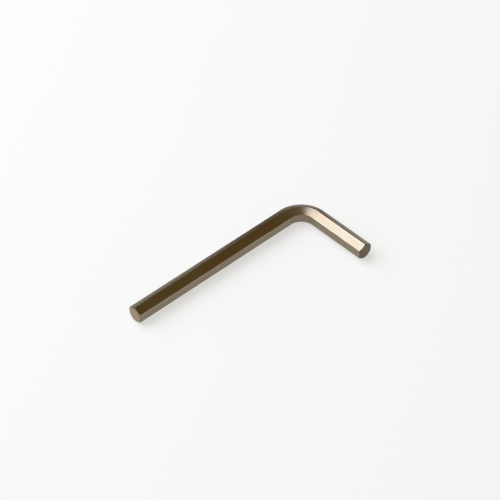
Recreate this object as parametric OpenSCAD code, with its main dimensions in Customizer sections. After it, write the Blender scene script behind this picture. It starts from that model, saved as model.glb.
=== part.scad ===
// Hex key: one hexagonal steel bar, cut to length, turned to a chamfer at
// both ends and bent once through a right angle. It lies flat with a corner
// of the hexagon down, so one pair of flats stands upright, on the inside
// and the outside of the bend. The origin is at the middle of the bottom of
// its bounding box. The long arm runs along X and the short arm along Y.
// All sizes are in millimetres.

/* [Bar] */
// Width across the flats of the bar, which is the size of the socket it fits
across_flats = 5; // [3:0.5:8]
// Radius that drawing leaves on the six long corners of the bar
corner_r = 0.4; // [0.1:0.05:0.6]

/* [Arms] */
// Length of the long arm, from its end to the outside of the bend
long_arm = 71; // [50:1:120]
// Length of the short arm, from its end to the outside of the bend
short_arm = 30; // [24:1:60]

/* [Bend] */
// Radius of the bend on its inner flat
bend_inner_r = 4.5; // [2:0.5:10]

/* [Ends] */
// How far the chamfer cuts in from a flat at the very end of the bar
chamfer_depth = 0.2; // [0.05:0.05:0.6]
// How far the chamfer runs back along the middle of a flat
chamfer_run = 0.1; // [0.05:0.05:1]

/* [Hidden] */
$fn = 96;

hex_half_angle = 30;
flat_r = across_flats / 2;
sharp_corner_r = flat_r / cos(hex_half_angle);

// Centre of each corner's rounding, and the even number of steps round it
corner_centre_r = (flat_r - corner_r) / cos(hex_half_angle);
corner_steps = 6;
across_corners = 2 * (corner_centre_r + corner_r);

bend_r = bend_inner_r + flat_r;
mid_z = across_corners / 2;

// Centre lines of the two arms, and the centre of the bend between them
long_arm_y = short_arm / 2 - flat_r;
short_arm_x = long_arm / 2 - flat_r;
bend_x = short_arm_x - bend_r;
bend_y = long_arm_y - bend_r;
long_straight = long_arm / 2 + bend_x;
short_straight = short_arm / 2 + bend_y;

// Turned chamfer: its radius at the very end, and where it clears the corners
tip_r = flat_r - chamfer_depth;
chamfer_full_run = (sharp_corner_r - tip_r) * chamfer_run / chamfer_depth;

// The bar's section, a hexagon with rounded corners, one of them up
module bar_section() {
    polygon([
        for (corner = [0 : 5], step = [0 : corner_steps])
            let (
                middle = hex_half_angle + 2 * hex_half_angle * corner,
                turn = middle + hex_half_angle * (2 * step / corner_steps - 1)
            )
            corner_centre_r * [cos(middle), sin(middle)]
                + corner_r * [cos(turn), sin(turn)]
    ]);
}

// Outline that the end is turned to, from the axis out, with its tip at 0
module turned_blank(length) {
    rotate_extrude()
        polygon([
            [0, 0],
            [tip_r, 0],
            [sharp_corner_r, chamfer_full_run],
            [sharp_corner_r, length],
            [0, length]
        ]);
}

// One straight arm, standing on its chamfered end
module arm(length) {
    intersection() {
        linear_extrude(height = length) bar_section();
        turned_blank(length);
    }
}

// The quarter turn between the arms
module bend() {
    rotate_extrude(angle = 90)
        translate([bend_r, 0])
            bar_section();
}

module hex_key() {
    color([0.56, 0.52, 0.46])
    union() {
        translate([-long_arm / 2, long_arm_y, mid_z])
            rotate([90, 0, 90])
                arm(long_straight);
        translate([bend_x, bend_y, mid_z])
            bend();
        translate([short_arm_x, -short_arm / 2, mid_z])
            rotate([-90, 0, 0])
                arm(short_straight);
    }
}

hex_key();
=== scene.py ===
import math

import bmesh
import bpy
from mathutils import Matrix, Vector


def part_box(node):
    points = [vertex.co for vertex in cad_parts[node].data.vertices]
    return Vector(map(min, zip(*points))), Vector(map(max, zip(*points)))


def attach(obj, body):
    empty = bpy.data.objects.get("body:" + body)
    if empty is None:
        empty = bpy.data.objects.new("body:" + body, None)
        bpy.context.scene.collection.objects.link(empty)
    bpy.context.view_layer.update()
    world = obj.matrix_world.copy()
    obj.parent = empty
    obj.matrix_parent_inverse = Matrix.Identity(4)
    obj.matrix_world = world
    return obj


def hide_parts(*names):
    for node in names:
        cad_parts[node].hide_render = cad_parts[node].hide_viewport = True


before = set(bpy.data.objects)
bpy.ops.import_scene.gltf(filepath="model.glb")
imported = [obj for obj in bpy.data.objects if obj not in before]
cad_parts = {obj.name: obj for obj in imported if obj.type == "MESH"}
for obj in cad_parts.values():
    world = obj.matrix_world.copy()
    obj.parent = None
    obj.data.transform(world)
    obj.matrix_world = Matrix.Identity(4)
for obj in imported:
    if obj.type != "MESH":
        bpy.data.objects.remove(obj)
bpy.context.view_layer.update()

MM = 0.001

# Sizes of the bar, as in the frame's own solid
FLAT_R = 2.5 * MM
CORNER_R = 0.4 * MM
BEND_INNER_R = 4.5 * MM
CHAMFER_DEPTH = 0.2 * MM
CHAMFER_RUN = 0.1 * MM
HALF_ANGLE = math.radians(30)
SHARP_CORNER_R = FLAT_R / math.cos(HALF_ANGLE)

# Places worked out from the frame's box and the bar
KEY_LOW, KEY_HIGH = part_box("hex_key")
MID_Z = (KEY_LOW.z + KEY_HIGH.z) / 2
BEND_R = BEND_INNER_R + FLAT_R
LONG_ARM_Y = KEY_HIGH.y - FLAT_R
SHORT_ARM_X = KEY_HIGH.x - FLAT_R
BEND_X = SHORT_ARM_X - BEND_R
BEND_Y = LONG_ARM_Y - BEND_R
BEND_CENTRE = Vector((BEND_X, BEND_Y, MID_Z))
LONG_TIP = Vector((KEY_LOW.x, LONG_ARM_Y, MID_Z))
SHORT_TIP = Vector((SHORT_ARM_X, KEY_LOW.y, MID_Z))
TIP_R = FLAT_R - CHAMFER_DEPTH

# Lengths along the middle of the bar, from the tip of the long arm
LONG_STRAIGHT = BEND_X - KEY_LOW.x
SHORT_STRAIGHT = BEND_Y - KEY_LOW.y
BEND_LENGTH = BEND_R * math.pi / 2
BEND_MIDDLE = LONG_STRAIGHT + BEND_LENGTH / 2
BAR_LENGTH = LONG_STRAIGHT + BEND_LENGTH + SHORT_STRAIGHT

# How finely the bar is divided
CORNER_STEPS = 6
FLAT_CUTS = 7
STRAIGHT_STEP = 0.5 * MM
BEND_STEPS = 40
TURNED_SIDES = 144
MERGE_WITHIN = 0.002 * MM
SMOOTH_BELOW = math.radians(25)

# The ring that turns each end: its bore is the chamfer's cone, and it clears the bar all round
RING_BORE_R = 3.0 * MM
RING_R = 4.5 * MM
RING_OVERHANG = 0.3 * MM
ON_AXIS = 0.1 * MM

# The cut ends: how far in they are looked for, and the rounding between end face and chamfer
END_ZONE = 1 * MM
RIM_BREAK = 0.04 * MM


# Camera, at the photograph's viewing angle

PHOTO_PX = 500
FOCAL_PX = 1663
CAMERA_AZIMUTH = -43.1
CAMERA_ELEVATION = 44.0
CAMERA_DISTANCE = 506 * MM
CAMERA_TARGET = Vector((7.77 * MM, 9.36 * MM, 2.9 * MM))


def direction(azimuth, elevation):
    """Unit vector towards a place seen at this azimuth and elevation; azimuth 0 is towards -Y."""
    a, e = math.radians(azimuth), math.radians(elevation)
    return Vector((math.sin(a) * math.cos(e), -math.cos(a) * math.cos(e), math.sin(e)))


def aim(thing, place, target):
    thing.location = place
    thing.rotation_euler = (target - place).to_track_quat("-Z", "Y").to_euler()


def make_camera():
    data = bpy.data.cameras.new("camera")
    data.sensor_width = 36
    data.lens = FOCAL_PX / PHOTO_PX * data.sensor_width
    data.clip_start = 0.01
    data.clip_end = 20
    camera = bpy.data.objects.new("camera", data)
    bpy.context.scene.collection.objects.link(camera)
    back = direction(CAMERA_AZIMUTH, CAMERA_ELEVATION)
    aim(camera, CAMERA_TARGET + back * CAMERA_DISTANCE, CAMERA_TARGET)
    bpy.context.scene.camera = camera


# Materials

# A noise texture's values lie mostly between these two
NOISE_LOW = 0.3
NOISE_HIGH = 0.7

# Distances from the bar's axis between which the rubbing of its corners sets in
RUBBED_FROM = 2.68 * MM
RUBBED_FULL = 2.80 * MM


def hex_colour(code):
    """Linear RGBA of an sRGB hex colour."""
    def linear(value):
        return value / 12.92 if value <= 0.04045 else ((value + 0.055) / 1.055) ** 2.4
    channels = [int(code[i:i + 2], 16) / 255 for i in (1, 3, 5)]
    return tuple(linear(c) for c in channels) + (1.0,)


def new_material(name):
    material = bpy.data.materials.new(name)
    material.use_nodes = True
    material.node_tree.nodes.clear()
    return material


def add(tree, kind, inputs=None, **settings):
    """Adds a node, sets its fields, and sets or links its inputs. A node as an input gives its first
    output."""
    node = tree.nodes.new(kind)
    for field, value in settings.items():
        setattr(node, field, value)
    for socket, value in (inputs or {}).items():
        if isinstance(value, bpy.types.Node):
            value = value.outputs[0]
        if isinstance(value, bpy.types.NodeSocket):
            tree.links.new(value, node.inputs[socket])
        else:
            node.inputs[socket].default_value = value
    return node


def bar_grain(tree, place, along, across, detail):
    """Grain that runs with the bar, this long along it and this wide across it."""
    stretched = add(tree, "ShaderNodeMapping", {"Vector": place.outputs["Vector"],
                                                "Scale": (1 / along, 1 / across, 1 / across)})
    return add(tree, "ShaderNodeTexNoise", {"Vector": stretched, "Scale": 1.0, "Detail": detail})


def axis_distance(tree, place):
    """Distance from the bar's own axis."""
    split = add(tree, "ShaderNodeSeparateXYZ", {"Vector": place.outputs["Vector"]})
    across = add(tree, "ShaderNodeCombineXYZ", {"X": split.outputs["Y"], "Y": split.outputs["Z"]})
    return add(tree, "ShaderNodeVectorMath", {0: across}, operation="LENGTH").outputs["Value"]


def bend_share(tree, place):
    """1 in the bend, easing to 0 on the straight arms."""
    split = add(tree, "ShaderNodeSeparateXYZ", {"Vector": place.outputs["Vector"]})
    from_middle = add(tree, "ShaderNodeMath", {0: split, 1: BEND_MIDDLE}, operation="SUBTRACT")
    distance = add(tree, "ShaderNodeMath", {0: from_middle}, operation="ABSOLUTE")
    return add(tree, "ShaderNodeMapRange", {"Value": distance, "From Min": BEND_LENGTH / 2 - 1 * MM,
                                            "From Max": BEND_LENGTH / 2 + 2 * MM,
                                            "To Min": 1.0, "To Max": 0.0},
               interpolation_type="SMOOTHSTEP")


def nickel_drawn():
    """Nickel plate over a cold-drawn bar: a warm grey mirror that the drawing lines soften. It is a
    little duller and pebbled round the bend, where the steel was stretched, and rubbed brighter in
    places along the six corners."""
    material = new_material("nickel_plate_drawn")
    tree = material.node_tree
    place = add(tree, "ShaderNodeAttribute", attribute_name="bar_place")
    bent = bend_share(tree, place)

    # Drawing lines are about 0.05 mm apart, and 0.35 mm here, so that they show
    lines = bar_grain(tree, place, 26 * MM, 0.35 * MM, 3.0)
    # The flats wave a little, over a few millimetres, as the die left them
    waves = bar_grain(tree, place, 14 * MM, 2.2 * MM, 2.0)
    # Plating tone drifts over several millimetres
    clouds = bar_grain(tree, place, 7 * MM, 4 * MM, 2.0)
    # Stretched grains stand up about 0.1 mm apart, and 0.45 mm here, so that they show
    pebbles = bar_grain(tree, place, 0.45 * MM, 0.45 * MM, 1.0)

    # Rubbing shows on the corners alone, where the clouds are high
    on_corner = add(tree, "ShaderNodeMapRange", {"Value": axis_distance(tree, place),
                                                 "From Min": RUBBED_FROM, "From Max": RUBBED_FULL})
    rubbed_here = add(tree, "ShaderNodeMapRange", {"Value": clouds, "From Min": 0.4, "From Max": 0.6})
    rubbed = add(tree, "ShaderNodeMath", {0: on_corner, 1: rubbed_here}, operation="MULTIPLY")

    # The tone drifts from brown to olive, the lines vary its shade, and rubbing brightens it
    tint = add(tree, "ShaderNodeValToRGB", {"Fac": clouds})
    tint.color_ramp.elements[0].position = 0.32
    tint.color_ramp.elements[0].color = hex_colour("#8A7865")
    tint.color_ramp.elements[1].position = 0.68
    tint.color_ramp.elements[1].color = hex_colour("#89806E")
    line_shade = add(tree, "ShaderNodeMapRange", {"Value": lines,
                                                  "From Min": NOISE_LOW, "From Max": NOISE_HIGH,
                                                  "To Min": 0.965, "To Max": 1.035})
    shade = add(tree, "ShaderNodeMath", {0: rubbed, 1: 0.12, 2: line_shade}, operation="MULTIPLY_ADD")
    colour = add(tree, "ShaderNodeVectorMath", {0: tint, 3: shade}, operation="SCALE")

    # The flats are nearly a mirror, the bend is duller and rubbed corners are smoother
    line_rough = add(tree, "ShaderNodeMapRange", {"Value": lines,
                                                  "From Min": NOISE_LOW, "From Max": NOISE_HIGH,
                                                  "To Min": 0.14, "To Max": 0.26})
    cloud_rough = add(tree, "ShaderNodeMapRange", {"Value": clouds,
                                                   "From Min": NOISE_LOW, "From Max": NOISE_HIGH,
                                                   "To Min": -0.03, "To Max": 0.04})
    flat_rough = add(tree, "ShaderNodeMath", {0: line_rough, 1: cloud_rough}, operation="ADD")
    bend_rough = add(tree, "ShaderNodeMath", {0: bent, 1: 0.16, 2: flat_rough},
                     operation="MULTIPLY_ADD")
    rough = add(tree, "ShaderNodeMath", {0: rubbed, 1: -0.05, 2: bend_rough}, operation="MULTIPLY_ADD")

    bump_waves = add(tree, "ShaderNodeBump", {"Height": waves, "Distance": 0.008 * MM, "Strength": 1.0})
    bump_pebbles = add(tree, "ShaderNodeBump", {"Height": pebbles, "Distance": 0.006 * MM,
                                                "Strength": bent, "Normal": bump_waves})
    bump_lines = add(tree, "ShaderNodeBump", {"Height": lines, "Distance": 0.005 * MM, "Strength": 1.0,
                                              "Normal": bump_pebbles})
    shader = add(tree, "ShaderNodeBsdfPrincipled", {"Base Color": colour, "Metallic": 1.0,
                                                    "Roughness": rough, "Normal": bump_lines})
    add(tree, "ShaderNodeOutputMaterial", {"Surface": shader})
    return material


def nickel_turned():
    """Nickel plate over a cut and turned end: duller than the drawn sides, with rings round the bar's
    own axis from the tool, and a chamfer painted darker, as painted shade that outlines the end. The
    short arm's end is painted darker than the long arm's: painted shade for the shadowed floor it
    mirrors."""
    material = new_material("nickel_plate_turned")
    tree = material.node_tree
    place = add(tree, "ShaderNodeAttribute", attribute_name="bar_place")
    radius = axis_distance(tree, place)
    # Tool rings are about 0.1 mm apart, and 0.25 mm here, so that they show
    rings_at = add(tree, "ShaderNodeMath", {0: radius, 1: 1 / (0.25 * MM)}, operation="MULTIPLY")
    rings = add(tree, "ShaderNodeTexNoise", {"W": rings_at, "Scale": 1.0, "Detail": 2.0},
                noise_dimensions="1D")
    # The cut tears small pits, about 0.5 mm apart
    pits = bar_grain(tree, place, 0.5 * MM, 0.5 * MM, 2.0)

    tint = add(tree, "ShaderNodeValToRGB", {"Fac": rings})
    tint.color_ramp.elements[0].position = 0.35
    tint.color_ramp.elements[0].color = hex_colour("#93836E")
    tint.color_ramp.elements[1].position = 0.65
    tint.color_ramp.elements[1].color = hex_colour("#9C8B76")
    # Painted shade: the end faces darken along the bar, so the short arm's end shows the shadowed floor
    # it mirrors
    split = add(tree, "ShaderNodeSeparateXYZ", {"Vector": place.outputs["Vector"]})
    painted_end_shade = add(tree, "ShaderNodeMapRange", {"Value": split,
                                                 "From Min": 0.0, "From Max": BAR_LENGTH,
                                                 "To Min": 1.0, "To Max": 0.45})
    # Painted shade: the chamfer is made darker, so that it outlines the end
    painted_rim_shade = add(tree, "ShaderNodeMapRange", {"Value": radius,
                                                 "From Min": TIP_R - RIM_BREAK,
                                                 "From Max": TIP_R + RIM_BREAK,
                                                 "To Min": 1.0, "To Max": 0.7})
    # The painted shades of the short end and of the chamfer, together
    shade = add(tree, "ShaderNodeMath", {0: painted_end_shade, 1: painted_rim_shade}, operation="MULTIPLY")
    colour = add(tree, "ShaderNodeVectorMath", {0: tint, 3: shade}, operation="SCALE")

    ring_rough = add(tree, "ShaderNodeMapRange", {"Value": rings,
                                                  "From Min": NOISE_LOW, "From Max": NOISE_HIGH,
                                                  "To Min": 0.26, "To Max": 0.38})
    pit_rough = add(tree, "ShaderNodeMapRange", {"Value": pits,
                                                 "From Min": NOISE_LOW, "From Max": NOISE_HIGH,
                                                 "To Min": -0.04, "To Max": 0.06})
    rough = add(tree, "ShaderNodeMath", {0: ring_rough, 1: pit_rough}, operation="ADD")
    bump_pits = add(tree, "ShaderNodeBump", {"Height": pits, "Distance": 0.01 * MM, "Strength": 1.0})
    bump_rings = add(tree, "ShaderNodeBump", {"Height": rings, "Distance": 0.02 * MM, "Strength": 1.0,
                                              "Normal": bump_pits})
    shader = add(tree, "ShaderNodeBsdfPrincipled", {"Base Color": colour, "Metallic": 1.0,
                                                    "Roughness": rough, "Normal": bump_rings})
    add(tree, "ShaderNodeOutputMaterial", {"Surface": shader})
    return material


# The bar

def deselect_all():
    for other in bpy.context.selected_objects:
        other.select_set(False)


def edit_only(piece):
    deselect_all()
    bpy.context.view_layer.objects.active = piece
    piece.select_set(True)
    bpy.ops.object.mode_set(mode="EDIT")


def select_faces(piece, wanted):
    """Selects the faces of the piece in edit mode whose centre and normal pass the test."""
    mesh = bmesh.from_edit_mesh(piece.data)
    bpy.ops.mesh.select_all(action="DESELECT")
    for face in mesh.faces:
        face.select_set(wanted(face.calc_center_median(), face.normal))
    mesh.select_flush(True)
    bmesh.update_edit_mesh(piece.data)


def apply_modifier(piece, kind, name, **settings):
    modifier = piece.modifiers.new(name, kind)
    for field, value in settings.items():
        setattr(modifier, field, value)
    deselect_all()
    bpy.context.view_layer.objects.active = piece
    piece.select_set(True)
    bpy.ops.object.modifier_apply(modifier=modifier.name)


def bar_section():
    """The bar's end section at the tip of the long arm, with its corners rounded and flats divided."""
    deselect_all()
    bpy.ops.mesh.primitive_circle_add(vertices=6, radius=SHARP_CORNER_R, fill_type="NGON",
                                      location=LONG_TIP,
                                      rotation=(math.radians(90), 0, math.radians(90)))
    bar = bpy.context.object
    bar.name = "bent_bar"
    bpy.ops.object.transform_apply(location=True, rotation=True, scale=True)
    edit_only(bar)
    bpy.ops.mesh.select_all(action="SELECT")
    bpy.ops.mesh.bevel(offset=CORNER_R * math.tan(HALF_ANGLE), offset_type="OFFSET",
                       segments=CORNER_STEPS, profile=0.5, affect="VERTICES")
    mesh = bmesh.from_edit_mesh(bar.data)
    bpy.ops.mesh.select_all(action="DESELECT")
    for edge in mesh.edges:
        edge.select_set(edge.calc_length() > FLAT_R / 2)
    bmesh.update_edit_mesh(bar.data)
    bpy.ops.mesh.subdivide(number_cuts=FLAT_CUTS)
    bpy.ops.mesh.select_all(action="SELECT")
    return bar


def push_section(move, steps):
    """Extrudes the selected end section along a straight stretch."""
    for _ in range(steps):
        bpy.ops.mesh.extrude_region_move(TRANSFORM_OT_translate={"value": move / steps})


def turn_end(bar, tip, inward):
    """Turns the chamfer on one end with a ring whose bore is the chamfer's cone."""
    slope = CHAMFER_DEPTH / CHAMFER_RUN
    ring_length = (RING_BORE_R - TIP_R) / slope + RING_OVERHANG
    deselect_all()
    bpy.ops.mesh.primitive_cylinder_add(vertices=TURNED_SIDES, radius=RING_R, depth=ring_length,
                                        location=tip + inward * (ring_length / 2 - RING_OVERHANG),
                                        rotation=inward.to_track_quat("Z", "Y").to_euler())
    ring = bpy.context.object
    bpy.ops.object.transform_apply(location=True, rotation=True, scale=True)
    edit_only(ring)
    for facing, bore_r in ((1, RING_BORE_R), (-1, TIP_R - RING_OVERHANG * slope)):
        select_faces(ring, lambda centre, normal: normal.dot(inward) * facing > 0.9)
        bpy.ops.mesh.inset(thickness=RING_R - bore_r)
        select_faces(ring, lambda centre, normal: normal.dot(inward) * facing > 0.9
                     and (centre - tip).cross(inward).length < ON_AXIS)
        bpy.ops.mesh.delete(type="ONLY_FACE")
    bpy.ops.mesh.select_all(action="DESELECT")
    bpy.ops.mesh.select_non_manifold()
    bpy.ops.mesh.bridge_edge_loops()
    bpy.ops.mesh.select_all(action="SELECT")
    bpy.ops.mesh.normals_make_consistent(inside=False)
    bpy.ops.object.mode_set(mode="OBJECT")
    apply_modifier(bar, "BOOLEAN", "turned end", operation="DIFFERENCE", object=ring, solver="EXACT")
    bpy.data.objects.remove(ring)


def at_end(centre, normal):
    """True for the faces of the two cut ends and their chamfers, and no others."""
    long_end = centre.x < KEY_LOW.x + END_ZONE and normal.x < -0.5
    short_end = centre.y < KEY_LOW.y + END_ZONE and normal.y < -0.5
    return long_end or short_end


def break_rims(bar):
    """Rounds the rim between each end face and its chamfer."""
    edit_only(bar)
    bpy.ops.mesh.select_all(action="SELECT")
    bpy.ops.mesh.remove_doubles(threshold=MERGE_WITHIN)
    select_faces(bar, lambda centre, normal: at_end(centre, normal) and min(normal.x, normal.y) < -0.99)
    bpy.ops.mesh.region_to_loop()
    bpy.ops.mesh.bevel(offset=RIM_BREAK, offset_type="OFFSET", segments=2, profile=0.5, affect="EDGES")
    bpy.ops.object.mode_set(mode="OBJECT")


def finish_surface(bar):
    """Gives the bar its two finishes, and shades its flats flat and its roundings smooth."""
    bar.data.materials.append(nickel_drawn())
    bar.data.materials.append(nickel_turned())
    edit_only(bar)
    select_faces(bar, at_end)
    bar.active_material_index = 1
    bpy.ops.object.material_slot_assign()
    bpy.ops.object.mode_set(mode="OBJECT")
    bpy.ops.object.shade_smooth_by_angle(angle=SMOOTH_BELOW)
    apply_modifier(bar, "WEIGHTED_NORMAL", "flat flats", keep_sharp=True, weight=80)


def mark_places(bar):
    """Writes where each point was on the straight bar: along it, and across it in two directions."""
    places = bar.data.attributes.new("bar_place", "FLOAT_VECTOR", "POINT")
    for vertex, place in zip(bar.data.vertices, places.data):
        x, y, z = vertex.co
        if x <= BEND_X:
            along, across = x - KEY_LOW.x, y - LONG_ARM_Y
        elif y <= BEND_Y:
            along, across = LONG_STRAIGHT + BEND_LENGTH + BEND_Y - y, x - SHORT_ARM_X
        else:
            turn = math.atan2(x - BEND_X, y - BEND_Y)
            along = LONG_STRAIGHT + BEND_R * turn
            across = math.hypot(x - BEND_X, y - BEND_Y) - BEND_R
        place.vector = (along, across, z - MID_Z)


def make_bar():
    """Draws the section out along the long arm, spins it round the bend and draws out the short arm."""
    bar = bar_section()
    push_section(Vector((LONG_STRAIGHT, 0, 0)), round(LONG_STRAIGHT / STRAIGHT_STEP))
    bpy.ops.mesh.spin(steps=BEND_STEPS, angle=math.pi / 2, center=BEND_CENTRE, axis=(0, 0, 1))
    push_section(Vector((0, -SHORT_STRAIGHT, 0)), round(SHORT_STRAIGHT / STRAIGHT_STEP))
    bpy.ops.mesh.select_all(action="SELECT")
    bpy.ops.mesh.remove_doubles(threshold=MERGE_WITHIN)
    bpy.ops.mesh.normals_make_consistent(inside=False)
    bpy.ops.object.mode_set(mode="OBJECT")
    return bar


# Stage and light

SOFTBOX_AZIMUTH = -152.0
SOFTBOX_ELEVATION = 50.0
SOFTBOX_DISTANCE = 1.0
SOFTBOX_WIDTH = 1.3
SOFTBOX_HEIGHT = 1.1
SOFTBOX_BRIGHTNESS = 4.55

# Share of plain white in the paper floor, near the key and away from it
FLOOR_SIZE = 12.0
FLOOR_WHITE_NEAR = 0.6
FLOOR_WHITE_FAR = 0.95
FLOOR_NEAR_R = 0.10
FLOOR_FAR_R = 0.60

# Heights, as sines of the elevation, between which the pale walls turn into the ceiling
WALLS_UP_TO = math.sin(math.radians(8))
CEILING_FROM = math.sin(math.radians(24))

BACK_CARD_AZIMUTH = 160.0
BACK_CARD_DISTANCE = 42 * MM
BACK_CARD_WIDTH = 400 * MM
BACK_CARD_HEIGHT = 40 * MM


def make_softbox():
    """One large, slightly cool softbox, which the short arm's upper flat mirrors."""
    data = bpy.data.lights.new("softbox", "AREA")
    data.shape = "RECTANGLE"
    data.size = SOFTBOX_WIDTH
    data.size_y = SOFTBOX_HEIGHT
    data.energy = SOFTBOX_BRIGHTNESS * math.pi * SOFTBOX_WIDTH * SOFTBOX_HEIGHT
    data.color = hex_colour("#E3EEFF")[:3]
    softbox = bpy.data.objects.new("softbox", data)
    bpy.context.scene.collection.objects.link(softbox)
    aim(softbox, direction(SOFTBOX_AZIMUTH, SOFTBOX_ELEVATION) * SOFTBOX_DISTANCE, Vector((0, 0, 0)))


def seen_background(tree):
    """1 for the rays that see the background: the camera's, and those that metal or glass mirrors."""
    path = add(tree, "ShaderNodeLightPath")
    mirrored = add(tree, "ShaderNodeMath", {0: path.outputs["Is Glossy Ray"],
                                            1: path.outputs["Is Transmission Ray"]},
                   operation="MAXIMUM")
    return add(tree, "ShaderNodeMath", {0: path.outputs["Is Camera Ray"], 1: mirrored},
               operation="MAXIMUM")


def make_floor():
    """White paper that fades to the plain white of the walls away from the key and its shadow."""
    deselect_all()
    bpy.ops.mesh.primitive_plane_add(size=FLOOR_SIZE)
    floor = bpy.context.object
    floor.name = "floor"
    material = new_material("white_paper")
    tree = material.node_tree
    paper = add(tree, "ShaderNodeBsdfDiffuse", {"Color": hex_colour("#DFDDD7")})
    white = add(tree, "ShaderNodeEmission", {"Color": hex_colour("#FFFFFF"), "Strength": 1.0})
    place = add(tree, "ShaderNodeTexCoord")
    radius = add(tree, "ShaderNodeVectorMath", {0: place.outputs["Object"]}, operation="LENGTH")
    whiteness = add(tree, "ShaderNodeMapRange", {"Value": radius.outputs["Value"],
                                                 "From Min": FLOOR_NEAR_R, "From Max": FLOOR_FAR_R,
                                                 "To Min": FLOOR_WHITE_NEAR, "To Max": FLOOR_WHITE_FAR},
                    interpolation_type="SMOOTHSTEP")
    share = add(tree, "ShaderNodeMath", {0: seen_background(tree), 1: whiteness}, operation="MULTIPLY")
    mix = add(tree, "ShaderNodeMixShader", {0: share, 1: paper, 2: white})
    add(tree, "ShaderNodeOutputMaterial", {"Surface": mix})
    floor.data.materials.append(material)


def make_back_card():
    """A low dark card that stands behind the key, out of the camera's sight: it draws the far edges
    dark, and the softbox shines over it."""
    middle = Vector((0, 0, BACK_CARD_HEIGHT / 2))
    deselect_all()
    bpy.ops.mesh.primitive_plane_add(size=1)
    card = bpy.context.object
    card.name = "back_card"
    card.scale = (BACK_CARD_WIDTH, BACK_CARD_HEIGHT, 1)
    aim(card, middle + direction(BACK_CARD_AZIMUTH, 0) * BACK_CARD_DISTANCE, middle)
    material = new_material("dark_card")
    tree = material.node_tree
    tone = add(tree, "ShaderNodeEmission", {"Color": hex_colour("#7C7261"), "Strength": 1.0})
    add(tree, "ShaderNodeOutputMaterial", {"Surface": tone})
    card.data.materials.append(material)
    card.visible_camera = False
    card.visible_shadow = False
    card.visible_diffuse = False
    card.visible_transmission = False


def make_world():
    """A studio with pale walls up to a little above the horizon and a dim, warm ceiling."""
    world = bpy.data.worlds.new("studio")
    world.use_nodes = True
    tree = world.node_tree
    tree.nodes.clear()
    place = add(tree, "ShaderNodeTexCoord")
    split = add(tree, "ShaderNodeSeparateXYZ", {"Vector": place.outputs["Generated"]})
    height = add(tree, "ShaderNodeMapRange", {"Value": split.outputs["Z"], "From Min": WALLS_UP_TO,
                                              "From Max": CEILING_FROM},
                 interpolation_type="SMOOTHSTEP")
    colour = add(tree, "ShaderNodeMix", {0: height, 6: hex_colour("#FFFFFF"),
                                         7: hex_colour("#8E7B4F")}, data_type="RGBA")
    room = add(tree, "ShaderNodeBackground", {"Color": colour.outputs[2], "Strength": 1.0})
    add(tree, "ShaderNodeOutputWorld", {"Surface": room})
    bpy.context.scene.world = world


# The scene

bpy.context.scene.view_settings.view_transform = "Standard"
make_camera()
make_world()
make_floor()
make_back_card()
make_softbox()

bar = make_bar()
turn_end(bar, LONG_TIP, Vector((1, 0, 0)))
turn_end(bar, SHORT_TIP, Vector((0, 1, 0)))
break_rims(bar)
mark_places(bar)
finish_surface(bar)
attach(bar, "root")
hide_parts("hex_key")
